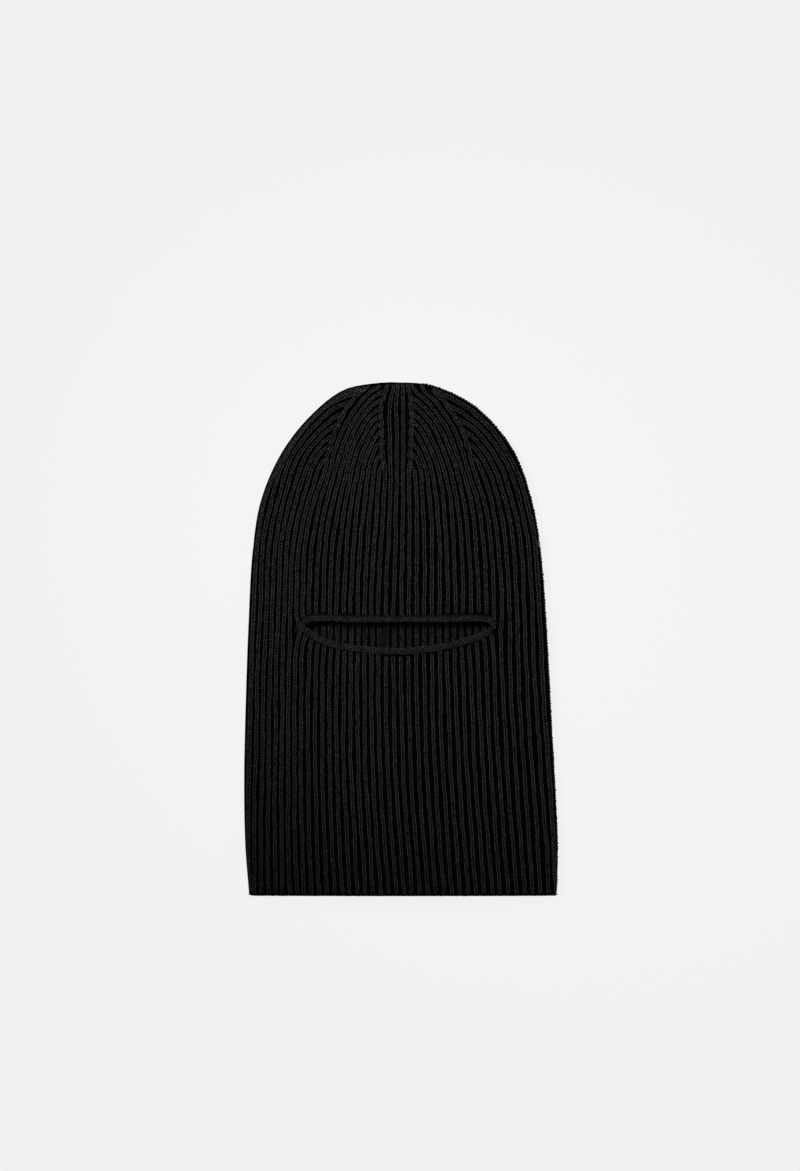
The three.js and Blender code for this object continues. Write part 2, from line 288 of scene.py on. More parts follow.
def outer_face(x, y, side):
    """Points on the garment's outer face and the normals there. side: 1 front, -1 back."""
    x, y = np.broadcast_arrays(np.asarray(x, float), np.asarray(y, float))
    across = x - SPINE_X
    up = np.maximum(y - CROWN_CENTRE_Y, 0)
    distance = np.maximum(np.hypot(across, up), 1e-6)
    reach = reach_of(x, y)
    outward = np.stack([across / distance, up / distance], axis=-1)
    inset = np.clip(reach - distance, 0, None)
    over = np.minimum(distance, reach) - distance
    plan = np.stack([x, y], axis=-1) + outward * over[:, None]
    turn = np.arccos(np.clip(1 - inset / FOLD_RADIUS, 0, 1))
    inward = np.clip((inset - FOLD_RADIUS) / (reach - FOLD_RADIUS), 0, 1)
    if side > 0:
        height = FOLD_RADIUS * (1 + np.sin(turn)) + LOFT * (1 - (1 - inward) ** LOFT_POWER)
        slope = LOFT * LOFT_POWER / (reach - FOLD_RADIUS) * (1 - inward) ** (LOFT_POWER - 1)
        slope = slope * smoothstep(inset, FOLD_RADIUS, 2 * FOLD_RADIUS)
    else:
        height = FOLD_RADIUS * (1 - np.sin(turn))
        slope = np.zeros_like(inset)
    level = np.cos(turn) + slope
    upright = side * np.sin(turn)
    normal = unit(np.concatenate([outward * level[:, None], upright[:, None]], axis=1))
    return np.concatenate([plan, height[:, None]], axis=1), normal


def arc_of_inset(inset):
    """Arc in the middle of the cloth, from the fold's outermost line in to a plan distance."""
    bend = FOLD_MID_RADIUS * np.arccos(np.clip(1 - inset / FOLD_RADIUS, 0, 1))
    return np.where(inset < FOLD_RADIUS, bend, QUARTER_FOLD + inset - FOLD_RADIUS)


def inset_of_arc(arc):
    bend = FOLD_RADIUS * (1 - np.cos(np.clip(arc, 0, QUARTER_FOLD) / FOLD_MID_RADIUS))
    return np.where(arc < QUARTER_FOLD, bend, FOLD_RADIUS + arc - QUARTER_FOLD)


# ---- Where the wales run ----

HEIGHTS = np.arange(HEM_BAND, RIB_TOP_Y, STEP)
GUIDE_X = {}
for number, points in GUIDES.items():
    curve = smooth_curve(points)
    GUIDE_X[number] = np.interp(HEIGHTS, curve[:, 1], curve[:, 0])


INSET_LEVELS, INSETS = zip(*LEFT_FOLD_INSET)
LEFT_INSET = np.interp(HEIGHTS, INSET_LEVELS, INSETS)
BACK_FOLD_INSET = inset_of_arc(np.clip(WALE_PITCH - arc_of_inset(LEFT_INSET), 0.3, None))
GUIDE_X[0] = edge_x(HEIGHTS, False) + LEFT_INSET


def gore_positions(gore):
    """x of each of a gore's wales by height, and the height where each one ends on the column."""
    lead, column = gore["lead"], gore["column"]
    count = abs(column - lead)
    way = np.sign(column - lead)
    even = (GUIDE_X[column] - GUIDE_X[lead]) / count
    start = np.searchsorted(HEIGHTS, CROWN_START_Y)
    levels, shares = zip(*gore["spread"])
    opened = even[start] * (1 + np.interp(HEIGHTS, levels, shares))
    turning = smoothstep(HEIGHTS, CROWN_START_Y - EASE_IN, CROWN_START_Y + EASE_IN)
    change = np.gradient(even) * (1 - turning) + np.gradient(opened) * turning
    gap = even[0] + np.cumsum(change) - change[0]
    gap = gap * (1 + (even[start] / gap[start] - 1) * turning * 2).clip(0.9, 1.1)
    found = {}
    for step in range(1, count):
        x = GUIDE_X[lead] + gap * step
        near = np.abs(GUIDE_X[column] - x) < MERGE_DISTANCE
        passed = (GUIDE_X[column] - x) * np.sign(gap) < 0
        done = (near | passed) & (HEIGHTS > CROWN_START_Y - 6)
        end = HEIGHTS[np.argmax(done)] if done.any() else HEIGHTS[-1]
        found[int(lead + way * step)] = (x, end)
    return found


def eye_pull(x, y):
    """How far the eye opening's corners and its gathered lower band draw the ribs sideways."""
    near_corner = np.exp(-(((y - CORNER_Y) / CORNER_REACH_Y) ** 2))
    past_left = np.clip(LEFT_TACK[0] - x, 0, None) / CORNER_REACH_X
    past_right = np.clip(x - RIGHT_TACK[0] - 0.5, 0, None) / CORNER_REACH_X
    left = LEFT_PULL * near_corner * np.exp(-(past_left ** 2)) * (x < -60)
    right = -RIGHT_PULL * near_corner * np.exp(-(past_right ** 2)) * (x > 58)
    below = np.interp(x, TRIM_X, LOWER_TRIM_Y)
    from_middle = np.abs(x + 1)
    gathered = smoothstep(from_middle, 24, 62) * smoothstep(from_middle, 84, 70)
    fan = FAN_PULL * gathered * np.exp(-np.clip(below - y, 0, None) / FAN_REACH) * (y < below)
    return left + right - np.sign(x) * fan


TRIM_X = np.linspace(-80, 80, 641)


def trim_height(points, ends):
    curve = smooth_curve([ends[0], *points, ends[1]])
    order = np.argsort(curve[:, 0])
    return np.interp(TRIM_X, curve[order, 0], curve[order, 1])


LOWER_TRIM_Y = trim_height(LOWER_TRIM, [(LEFT_CORNER_X, 7.0), (RIGHT_CORNER_X, 7.8)])
UPPER_TRIM_Y = trim_height(UPPER_TRIM, [(LEFT_CORNER_X, 5.8), (RIGHT_CORNER_X, 6.6)])


def in_eye_opening(x, y):
    low = np.interp(x, TRIM_X, LOWER_TRIM_Y) - LOWER_TRIM_RADIUS - CLEAR_BELOW_BAND
    high = np.interp(x, TRIM_X, UPPER_TRIM_Y) + UPPER_TRIM_RADIUS + CLEAR_ABOVE_BAND
    return (x > LEFT_CORNER_X) & (x < RIGHT_CORNER_X - CLEAR_OF_RIGHT_CORNER) & (y > low) & (y < high)


class Wale:
    """A column of stitches: its line through the middle of the cloth, with frames and room beside it."""

    def __init__(self, number, middle, normal, left=None, right=None, course=None):
        self.number = number
        self.middle = middle
        self.tangent = unit(np.gradient(middle, axis=0))
        across = unit(np.cross(self.tangent, normal))
        self.across = across
        self.normal = np.cross(across, self.tangent)
        step = np.linalg.norm(np.diff(middle, axis=0), axis=1)
        height = np.full(len(middle), COURSE) if course is None else course
        self.courses = np.concatenate([[0], np.cumsum(step / height[1:])])
        self.left = np.full(len(middle), HALF_PITCH) if left is None else left
        self.right = np.full(len(middle), HALF_PITCH) if right is None else right
        self.blocked = np.zeros(len(middle), bool)
        self.bend = None
        self.lowest = np.full(len(middle), -FABRIC)

    def stitches(self, phase=0.25):
        """Course numbers of the stitches that fit clear of what blocks the wale."""
        first = np.arange(phase, self.courses[-1] - 1.2, 1.0)
        taken = np.interp(first + 0.1, self.courses, self.blocked.astype(float)) > 0
        taken |= np.interp(first + 0.9, self.courses, self.blocked.astype(float)) > 0
        return first[~taken]


def course_height(y, number):
    """The courses are drawn closer together in the middle of the face than at the sides and in the crown."""
    side = smoothstep(abs(number - LAST_WALE / 2), 9, 17)
    in_middle = np.interp(y, *zip(*COURSES_IN_MIDDLE))
    at_side = np.interp(y, *zip(*COURSES_AT_SIDE))
    return in_middle + (at_side - in_middle) * side


def column_wander(y, number, ends):
    """A decrease column leans toward each wale that it swallows, and straightens after it."""
    furthest, past_end, reach = 1.2, 1.0, 2.4
    lean = np.zeros_like(y)
    for end in ends:
        lean += np.exp(-(((y - end - past_end) / reach) ** 2))
    way = -1 if number in (8, 19) else 1
    return way * furthest * lean


def wavy(y, number):
    """Slow sideways unevenness of hand-washed knitting, different for each wale."""
    random = np.random.default_rng(500 + number)
    total = np.zeros_like(y)
    for wavelength, size in ((95, 0.22), (38, 0.16), (17, 0.10)):
        total += size * np.sin(2 * np.pi * (y / wavelength + random.random()))
    return total


def front_plan():
    """Plan x by height of each front wale, with the height where it ends."""
    plan = {number: (GUIDE_X[number], HEIGHTS[-1]) for number in (1, *COLUMNS)}
    plan[0] = (GUIDE_X[0], HEIGHTS[-1])
    plan[LAST_WALE] = (GUIDE_X[LAST_WALE], RIGHT_LEAD_END_Y)
    plan[1] = (GUIDE_X[1], LEFT_LEAD_END_Y)
    for number in CENTRE_WALES:
        share = (number - 19) / 4
        plan[number] = (GUIDE_X[19] * (1 - share) + GUIDE_X[23] * share, HEIGHTS[-1])
    for gore in GORES:
        plan.update(gore_positions(gore))
    for column in COLUMNS:
        gore = gore_of_column(column)
        ends = [end for number, (_, end) in plan.items() if number in gore and end < REACHES_TOP_Y]
        plan[column] = (GUIDE_X[column] + column_wander(HEIGHTS, column, ends), HEIGHTS[-1])
    return plan


def gore_of_column(column):
    gore = next(g for g in GORES if g["column"] == column)
    low, high = sorted((gore["lead"], column))
    return range(low, high + 1)


def half_rooms(plan, number, x, y):
    """Half the distance to the wales on either side, or a little where there is none."""
    rooms = []
    for neighbour in (number - 1, number + 1):
        if neighbour in plan:
            other = plan[neighbour][0]
            room = np.abs(np.interp(y, HEIGHTS, other) - x) / 2
        else:
            room = np.full(len(y), EDGE_ROOM)
        rooms.append(np.clip(room, LEAST_ROOM, MOST_ROOM))
    return rooms


def wale_on_face(plan, number, x, y, side):
    """A wale along plan points on the front or the back, with its room beside it."""
    outer, normal = outer_face(x, y, side)
    rooms = half_rooms(plan, number, x, y)
    if side < 0:
        rooms = rooms[::-1]
    course = course_height(y, number)
    wale = Wale(number, outer - normal * HALF_FABRIC, normal, rooms[0], rooms[1], course)
    lean = np.abs(wale.tangent[:, 1])
    wale.left = wale.left * np.clip(lean, 0.6, 1)
    wale.right = wale.right * np.clip(lean, 0.6, 1)
    return wale


def length_on_cloth(x, y):
    """How many of a wale's first points lie inside the outline, once it is up in the crown."""
    inside = reach_of(x, y) - np.hypot(x - SPINE_X, np.maximum(y - CROWN_CENTRE_Y, 0)) > 0.005
    return len(y) if inside.all() else max(8, int(np.argmin(inside | (y < 150))))


def front_wales():
    """The front's wales, with those that end on a column bent in to it, and the two along the folds."""
    plan = front_plan()
    wales = []
    for number in sorted(plan):
        if number == 0:
            continue
        x, end = plan[number]
        keep = HEIGHTS <= end
        y = HEIGHTS[keep]
        x = x[keep] + wavy(y, number)
        x = x + eye_pull(x, y)
        if number not in COLUMNS and end < REACHES_TOP_Y:
            column = next(c for c in COLUMNS if number in gore_of_column(c))
            target = np.interp(y, HEIGHTS, plan[column][0])
            merging = smoothstep(y, end - MERGE_BEFORE, end + MERGE_AFTER)
            x = x + (target - x) * MERGE_SHARE * merging
        last = length_on_cloth(x, y)
        wale = wale_on_face(plan, number, x[:last], y[:last], 1)
        wale.blocked = in_eye_opening(x[:last], y[:last])
        wale.bend = FOLD_MID_RADIUS if number == LAST_WALE else None
        wales.append(wale)
    wales.append(left_fold_wale(LEFT_INSET, 1))
    wales.append(right_fold_wale())
    return wales


def left_fold_wale(insets, side):
    """The wale beside the left fold, from the hem round the crown nearly to its top."""
    edge = LEFT_EDGE[(LEFT_EDGE[:, 1] > HEM_BAND) & (LEFT_EDGE[:, 0] < LEFT_FOLD_END_X)]
    root = np.stack([np.full(len(edge), SPINE_X), np.minimum(edge[:, 1], CROWN_CENTRE_Y)], axis=1)
    line = edge + unit(root - edge) * np.interp(edge[:, 1], HEIGHTS, insets)[:, None]
    lengths = lengths_along(line)
    line = rows(np.arange(0, lengths[-1], STEP), lengths, line)
    line[:, 0] += 0.6 * wavy(line[:, 1], 0)
    outer, normal = outer_face(line[:, 0], line[:, 1], side)
    wale = Wale(0, outer - normal * HALF_FABRIC, normal, None, None, course_height(line[:, 1], 0))
    wale.bend = FOLD_MID_RADIUS
    return wale


def right_fold_wale():
    """The wale that runs along the right fold, from the hem over the crown to its top."""
    inward, raised = 1, 0.5
    edge = RIGHT_EDGE[(RIGHT_EDGE[:, 1] > HEM_BAND) & (RIGHT_EDGE[:, 0] > RIGHT_FOLD_END_X)]
    lengths = lengths_along(edge)
    line = rows(np.arange(0, lengths[-1], STEP), lengths, edge)
    outer, normal = outer_face(line[:, 0] + inward, line[:, 1], 1)
    course = course_height(line[:, 1], LAST_WALE + 1)
    wale = Wale(LAST_WALE + 1, outer - normal * (HALF_FABRIC - raised), normal, None, None, course)
    wale.bend = FOLD_MID_RADIUS
    return wale


def inner_face_shows(y):
    """1 where the back's inner face is open to view, behind the eyes and at the neck."""
    behind_eyes = smoothstep(y, -34, -28) * smoothstep(y, 36, 30)
    return np.maximum(behind_eyes, smoothstep(y, -134, -138))


def back_plan():
    """Back wales: evenly spaced on either side of the seam below, mirrored from the front in the crown."""
    plan = front_plan()
    left_fold = arc_of_inset(LEFT_INSET)
    seam_left = arc_of_inset(SEAM_X - edge_x(HEIGHTS, False))
    seam_right = arc_of_inset(edge_x(HEIGHTS, True) - SEAM_X)
    mirrored = smoothstep(HEIGHTS, 62, 108)
    found = {}
    for number, (x, end) in plan.items():
        if number <= 19:
            arc = (seam_left + left_fold) * (number + 1) / 20 - left_fold
            even = edge_x(HEIGHTS, False) + inset_of_arc(arc)
        else:
            arc = seam_right * (LAST_WALE + 1 - number) / (LAST_WALE + 1 - 19)
            even = edge_x(HEIGHTS, True) - inset_of_arc(arc)
        found[number] = (even + (x - even) * mirrored, end)
    found[0] = (edge_x(HEIGHTS, False) + BACK_FOLD_INSET, HEIGHTS[-1])
    return found


def back_wales():
    """The back's wales. Their rungs lie shallow where the inner face shows, so as not to come through it."""
    shallow = 0.55
    plan = back_plan()
    wales = []
    for number in sorted(plan):
        if number in (0, 19):
            continue
        x, end = plan[number]
        keep = HEIGHTS <= end
        y = HEIGHTS[keep]
        x = x[keep] + 0.6 * wavy(y, number + 100)
        last = length_on_cloth(x, y)
        wale = wale_on_face(plan, number, x[:last], y[:last], -1)
        wale.bend = FOLD_MID_RADIUS if number == LAST_WALE else None
        wale.lowest = -FABRIC + (FABRIC - shallow) * inner_face_shows(y[:last])
        wales.append(wale)
    wales.append(left_fold_wale(BACK_FOLD_INSET, -1))
    return wales


def inner_wales(plan, side, low, high, first, last, depth=HALF_FABRIC):
    """Wales of the inner face, half way between the outer ones, in a band of heights."""
    wales = []
    for number in range(first, last):
        if number not in plan or number + 1 not in plan:
            continue
        keep = (HEIGHTS > low) & (HEIGHTS < high)
        y = HEIGHTS[keep]
        x = (plan[number][0][keep] + plan[number + 1][0][keep]) / 2 + 0.8 * wavy(y, number + 200)
        outer, normal = outer_face(x, y, side)
        between = np.abs(plan[number + 1][0][keep] - plan[number][0][keep])
        room = np.clip(between / 2, LEAST_ROOM, MOST_ROOM)
        wale = Wale(number, outer - normal * depth, -normal, room, room)
        wale.blocked = in_eye_opening(x, y) if side > 0 else wale.blocked
        wales.append(wale)
    return wales


# ---- Yarn loops as meshes ----

def stitch_rings(stitch, sides):
    """The whole loop's centre points and, at each, the section's directions, in stitch terms."""
    half = np.array(stitch, float)
    other = half[-2::-1] * (1, -1, -1, 1)
    points = np.vstack([half, other])
    flat = points[:, [1, 0, 3]] * (1, COURSE, 1) + points[:, [2]] * (HALF_PITCH, 0, 0)
    tangent = unit(np.gradient(flat, axis=0))
    first = unit(np.cross(tangent, (0.15, 0.1, 1.0)))
    second = np.cross(tangent, first)
    return points, round_section(first, second, sides)


def round_section(first, second, sides):
    """Unit circles in the planes of two rows of directions: rings x sides x 3."""
    angles = np.arange(sides) * 2 * np.pi / sides
    return np.cos(angles)[None, :, None] * first[:, None] + np.sin(angles)[None, :, None] * second[:, None]


def wale_vertices(wale, stitch, sides, radius, scale=1.0, phase=0.25, jitter=1.0):
    """Vertices of every stitch of a wale: stitches x rings x sides x 3."""
    points, section = stitch_rings(stitch, sides)
    first = wale.stitches(phase)
    count = len(first)
    if count == 0:
        return np.zeros((0, len(points), sides, 3))
    wobble = RANDOM.normal(0, 1, (4, count, 1)) * jitter
    size = 1 + UNEVEN_SIZE * wobble[1]
    tilt = UNEVEN_SLANT * wobble[3] * np.sign(points[None, :, 1] + points[None, :, 2])
    along = first[:, None] + UNEVEN_ALONG * wobble[0] + points[None, :, 0] + tilt * (points[None, :, 0] > 0)
    room = np.where(
        points[None, :, 2] < 0,
        -np.interp(along, wale.courses, wale.left),
        np.interp(along, wale.courses, wale.right),
    ) * np.abs(points[None, :, 2])
    across = points[None, :, 1] * size * scale + room + UNEVEN_ACROSS * wobble[2]
    out = points[None, :, 3] * scale * (1 + UNEVEN_OUT * wobble[2])
    out = np.maximum(out, np.interp(along, wale.courses, wale.lowest))
    if wale.bend:
        angle = across / wale.bend
        across, out = (wale.bend + out) * np.sin(angle), (wale.bend + out) * np.cos(angle) - wale.bend
    flat = along.ravel()
    past = np.clip(flat - wale.courses[-1], 0, None) * COURSE
    tangent = rows(flat, wale.courses, wale.tangent)
    middle = rows(flat, wale.courses, wale.middle) + tangent * past[:, None]
    sideways = rows(flat, wale.courses, wale.across)
    normal = rows(flat, wale.courses, wale.normal)
    centre = middle + sideways * across.ravel()[:, None] + normal * out.ravel()[:, None]
    thick = radius * (1 + UNEVEN_YARN * np.repeat(wobble[2], len(points), axis=1).ravel())
    parts = np.tile(section, (count, 1, 1)) * thick[:, None, None]
    ring = (parts[..., :1] * sideways[:, None] + parts[..., 1:2] * tangent[:, None]
            + parts[..., 2:] * normal[:, None])
    return (centre[:, None] + ring).reshape(count, len(points), sides, 3)


def tubes_mesh(name, blocks):
    """One mesh from blocks of yarn pieces, each tubes x rings x sides x 3, with closed ends."""
    twist, cap_uv = 2.0, 0.02
    vertices, corners, starts, bake, turns = [], [], [], [], []
    blocks = [block for block in blocks if len(block)]
    cells = int(np.ceil(np.sqrt(sum(len(block) for block in blocks))))
    base, corner_base, cell = 0, 0, 0
    for block in blocks:
        tubes, rings, sides, _ = block.shape
        vertices.append(block.reshape(-1, 3))
        index = base + np.arange(tubes * rings * sides).reshape(tubes, rings, sides)
        around = np.roll(index, -1, axis=2)
        quads = np.stack([index[:, :-1], around[:, :-1], around[:, 1:], index[:, 1:]], axis=-1)
        quads = quads.reshape(tubes, -1)
        caps = np.concatenate([index[:, 0, ::-1], index[:, -1]], axis=1)
        corners.append(np.concatenate([quads, caps], axis=1).ravel())
        sizes = np.tile([4] * ((rings - 1) * sides) + [sides, sides], tubes)
        starts.append(corner_base + np.concatenate([[0], np.cumsum(sizes)[:-1]]))
        corner_base += int(sizes.sum())
        ring_at, side_at = np.meshgrid(np.arange(rings - 1), np.arange(sides), indexing="ij")
        u = np.stack([side_at, side_at + 1, side_at + 1, side_at], axis=-1).ravel() / sides
        v = np.stack([ring_at, ring_at, ring_at + 1, ring_at + 1], axis=-1).ravel() / (rings - 1)
        local = np.concatenate([np.stack([u, v], axis=1), np.full((2 * sides, 2), cap_uv)])
        number = cell + np.arange(tubes)
        corner_uv = np.stack([number % cells, number // cells], axis=1)[:, None] + local[None]
        bake.append((corner_uv / cells).reshape(-1, 2))
        turns.append(np.tile(local * (1, twist), (tubes, 1)))
        cell += tubes
        base += tubes * rings * sides
    return make_mesh(name, np.vstack(vertices), np.concatenate(corners), np.concatenate(starts),
                     np.vstack(bake), np.vstack(turns))


def make_mesh(name, vertices, corners, starts, bake_uv, twist_uv):
    """A smooth mesh in metres, with one layout for baking and one that follows the yarn's twist."""
    mesh = bpy.data.meshes.new(name)
    mesh.vertices.add(len(vertices))
    mesh.vertices.foreach_set("co", (vertices * MM).astype(np.float32).ravel())
    mesh.loops.add(len(corners))
    mesh.loops.foreach_set("vertex_index", corners.astype(np.int32))
    mesh.polygons.add(len(starts))
    mesh.polygons.foreach_set("loop_start", starts.astype(np.int32))
    for layer_name, values in (("OFBake", bake_uv), ("YarnTwist", twist_uv)):
        layer = mesh.uv_layers.new(name=layer_name)
        layer.data.foreach_set("uv", values.astype(np.float32).ravel())
    mesh.update(calc_edges=True)
    mesh.validate()
    mesh.shade_smooth()
    obj = bpy.data.objects.new(name, mesh)
    bpy.context.scene.collection.objects.link(obj)
    return obj


def dress(obj, material, slot, *nodes):
    """Gives a piece its material and its place in the frame."""
    obj.data.materials.clear()
    obj.data.materials.append(material)
    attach(obj, "root")
    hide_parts(*nodes)
    return obj


# ---- Materials ----

def yarn_material(name, dark, light):
    """Dull spun yarn: mottled colour, a twist that shows as fine slanting ridges, and fine fuzz."""
    material = bpy.data.materials.new(name)
    material.use_nodes = True
    nodes, links = material.node_tree.nodes, material.node_tree.links
    shader = nodes["Principled BSDF"]
    shader.inputs["Roughness"].default_value = 0.9
    shader.inputs["Specular IOR Level"].default_value = 0.04

    place = nodes.new("ShaderNodeTexCoord")
    mottle = nodes.new("ShaderNodeTexNoise")
    mottle.inputs["Scale"].default_value = 430
    mottle.inputs["Detail"].default_value = 3
    mottle.inputs["Roughness"].default_value = 0.6
    links.new(place.outputs["Object"], mottle.inputs["Vector"])
    colour = nodes.new("ShaderNodeValToRGB")
    colour.color_ramp.elements[0].position = 0.32
    colour.color_ramp.elements[0].color = (*dark, 1)
    colour.color_ramp.elements[1].position = 0.7
    colour.color_ramp.elements[1].color = (*light, 1)
    links.new(mottle.outputs["Fac"], colour.inputs["Fac"])
    links.new(colour.outputs["Color"], shader.inputs["Base Color"])

    ply = nodes.new("ShaderNodeUVMap")
    ply.uv_map = "YarnTwist"
    slant = nodes.new("ShaderNodeTexWave")
    slant.wave_type = "BANDS"
    slant.bands_direction = "DIAGONAL"
    slant.inputs["Scale"].default_value = 3
    slant.inputs["Distortion"].default_value = 1.2
    links.new(ply.outputs["UV"], slant.inputs["Vector"])
    fuzz = nodes.new("ShaderNodeTexNoise")
    fuzz.inputs["Scale"].default_value = 2600
    fuzz.inputs["Detail"].default_value = 3
    links.new(place.outputs["Object"], fuzz.inputs["Vector"])
    relief = nodes.new("ShaderNodeMath")
    relief.operation = "ADD"
    links.new(slant.outputs["Fac"], relief.inputs[0])
    links.new(fuzz.outputs["Fac"], relief.inputs[1])
    bump = nodes.new("ShaderNodeBump")
    bump.inputs["Strength"].default_value = 0.5
    bump.inputs["Distance"].default_value = 0.12 * MM
    links.new(relief.outputs["Value"], bump.inputs["Height"])
    links.new(bump.outputs["Normal"], shader.inputs["Normal"])
    return material


def backing_painted_shade_material():
    """Painted shade: the near-black colour of the backing sheet, standing for the shaded depth of the rib
    between its yarns.
    """
    material = bpy.data.materials.new("rib_backing_painted_shade")
    material.use_nodes = True
    nodes, links = material.node_tree.nodes, material.node_tree.links
    shader = nodes["Principled BSDF"]
    shader.inputs["Roughness"].default_value = 0.95
    shader.inputs["Specular IOR Level"].default_value = 0.0
    place = nodes.new("ShaderNodeTexCoord")
    mottle = nodes.new("ShaderNodeTexNoise")
    mottle.inputs["Scale"].default_value = 900
    links.new(place.outputs["Object"], mottle.inputs["Vector"])
    colour = nodes.new("ShaderNodeValToRGB")
    # Near-black tones: painted shade in the depth between the yarns.
    colour.color_ramp.elements[0].color = (0.0006, 0.0006, 0.0006, 1)
    colour.color_ramp.elements[1].color = (0.002, 0.002, 0.002, 1)
    links.new(mottle.outputs["Fac"], colour.inputs["Fac"])
    links.new(colour.outputs["Color"], shader.inputs["Base Color"])
    return material


# ---- The rib fabric ----

def rib_pieces(material):
    """The knitted panel's outer face, in gores and halves small enough to handle."""
    front = {wale.number: wale for wale in front_wales()}
    back = {wale.number: wale for wale in back_wales()}
    pieces = []
    front_groups = {
        "front_rib_left_cheek": range(0, 8),
        "front_rib_left_brow": range(8, 14),
        "front_rib_left_middle": range(14, 19),
        "front_rib_middle": range(19, 24),
        "front_rib_right_middle": range(24, 29),
        "front_rib_right_brow": range(29, 34),
        "front_rib_right_cheek": range(34, 42),
    }
    for name, numbers in front_groups.items():
        blocks = [
            wale_vertices(front[n], SHORT_STITCH if n > LAST_WALE else RIB_STITCH, 5, YARN_RADIUS)
            for n in numbers
        ]
        pieces.append(tubes_mesh(name, blocks))
    back_groups = {
        "back_rib_left": range(0, 10),
        "back_rib_left_middle": range(10, 20),
        "back_rib_right_middle": range(20, 31),
        "back_rib_right": range(31, 41),
    }
    for name, numbers in back_groups.items():
        blocks = [wale_vertices(back[n], RIB_STITCH, 4, YARN_RADIUS) for n in numbers if n in back]
        pieces.append(tubes_mesh(name, blocks))
    for piece in pieces:
        dress(piece, material, "rib_yarn", "head_panel")
    return pieces


def inner_rib_pieces(material):
    """The inner face where it can be seen: through the eye opening and in at the neck."""
    neck = (HEM_BAND - 1, NECK_TOP_Y)
    neck_front_depth = HALF_FABRIC + 1.5
    behind_eyes = inner_wales(back_plan(), -1, *BEHIND_EYES, 4, 36)
    neck_back = inner_wales(back_plan(), -1, *neck, 0, LAST_WALE)
    neck_front = inner_wales(front_plan(), 1, *neck, 0, LAST_WALE, neck_front_depth)
    pieces = []
    for name, wales in (("inner_rib_behind_eyes", behind_eyes), ("inner_rib_neck_back", neck_back),
                        ("inner_rib_neck_front", neck_front)):
        sides = 5 if name == "inner_rib_behind_eyes" else 4
        blocks = [wale_vertices(wale, SHORT_STITCH, sides, YARN_RADIUS) for wale in wales]
        pieces.append(dress(tubes_mesh(name, blocks), material, "rib_yarn", "head_panel"))
    return pieces


def ground_spokes():
    """Plan lines from the spine out to the outline, going up the left side, over the crown and down."""
    near_eyes, far_from_eyes, crown_spokes = 1.2, 6.0, 61
    heights = np.concatenate([
        np.arange(HEM_Y + 0.3, -20, far_from_eyes),
        np.arange(-20, 24, near_eyes),
        np.arange(24, CROWN_CENTRE_Y, far_from_eyes),
    ])
    left = [((SPINE_X, y), (edge_x(y, False), y)) for y in heights]
    right = [((SPINE_X, y), (edge_x(y, True), y)) for y in heights]
    fan = []
    for angle in np.linspace(np.pi, 0, crown_spokes):
        reach = np.interp(angle, CROWN_ANGLES, CROWN_REACHES)
        tip = (SPINE_X + reach * np.cos(angle), CROWN_CENTRE_Y + reach * np.sin(angle))
        fan.append(((SPINE_X, CROWN_CENTRE_Y), tip))
    return left + fan + right[::-1]


def ground_points(root, tip, side):
    """Points of the painted-shade backing sheet along a spoke, from the outline inward: near the fold it
    rises to the surface.
    """
    per_spoke, crowded_outward = 60, 1.2
    left_fold_depth, right_fold_depth = 0.1, 0.4
    deep, back_deep_less = 1.25, 0.8
    fractions = np.linspace(0, 1, per_spoke) ** crowded_outward
    x = tip[0] + (root[0] - tip[0]) * fractions
    y = tip[1] + (root[1] - tip[1]) * fractions
    outer, normal = outer_face(x, y, side)
    flat = np.abs(normal[:, 2:])
    at_fold = left_fold_depth if tip[0] < SPINE_X else right_fold_depth
    within = HALF_FABRIC + deep
    if side < 0:
        within = within - back_deep_less * inner_face_shows(y)[:, None]
    return outer - normal * (at_fold + (within - at_fold) * flat)


def backing_painted_shade_sheet(material):
    """A thin backing sheet under the rib's crests that closes the cloth, coloured near-black as painted
    shade for the depth between the yarns; cut out at the eyes.
    """
    weld_distance, thickness = 0.05, 0.5
    spokes = ground_spokes()
    sides = [[ground_points(root, tip, side) for root, tip in spokes] for side in (1, -1)]
    per_spoke = len(sides[0][0])
    grid = np.arange(2 * len(spokes) * per_spoke).reshape(2, len(spokes), per_spoke)
    points = np.vstack(sides[0] + sides[1])
    faces = []
    for s in (0, 1):
        for i in range(len(spokes) - 1):
            for j in range(per_spoke - 1):
                quad = [grid[s, i, j], grid[s, i, j + 1], grid[s, i + 1, j + 1], grid[s, i + 1, j]]
                centre = points[quad].mean(axis=0)
                if s == 0 and open_for_eyes(centre[0], centre[1]):
                    continue
                faces.append(quad if s == 0 else quad[::-1])
    mesh = bpy.data.meshes.new("rib_backing_painted_shade")
    mesh.from_pydata((points * MM).tolist(), [], [[int(v) for v in face] for face in faces])
    obj = bpy.data.objects.new("rib_backing_painted_shade", mesh)
    bpy.context.scene.collection.objects.link(obj)
    merge = obj.modifiers.new("weld", "WELD")
    merge.merge_threshold = weld_distance * MM
    thicken = obj.modifiers.new("thickness", "SOLIDIFY")
    thicken.thickness = thickness * MM
    thicken.offset = 0
    apply_modifiers(obj)
    obj.data.shade_smooth()
    return dress(obj, material, "rib_yarn", "head_panel")


def open_for_eyes(x, y):
    under_band, inside_corner = 0.4, 2
    low = np.interp(x, TRIM_X, LOWER_TRIM_Y) + under_band
    high = np.interp(x, TRIM_X, UPPER_TRIM_Y) - under_band
    return LEFT_CORNER_X + inside_corner < x < RIGHT_CORNER_X - inside_corner and low < y < high


def apply_modifiers(obj):
    """Replaces a piece's mesh by what its modifiers make of it."""
    graph = bpy.context.evaluated_depsgraph_get()
    made = bpy.data.meshes.new_from_object(obj.evaluated_get(graph))
    obj.modifiers.clear()
    old = obj.data
    obj.data = made
    bpy.data.meshes.remove(old)


# ---- Bands, edge, seam and yarns ----

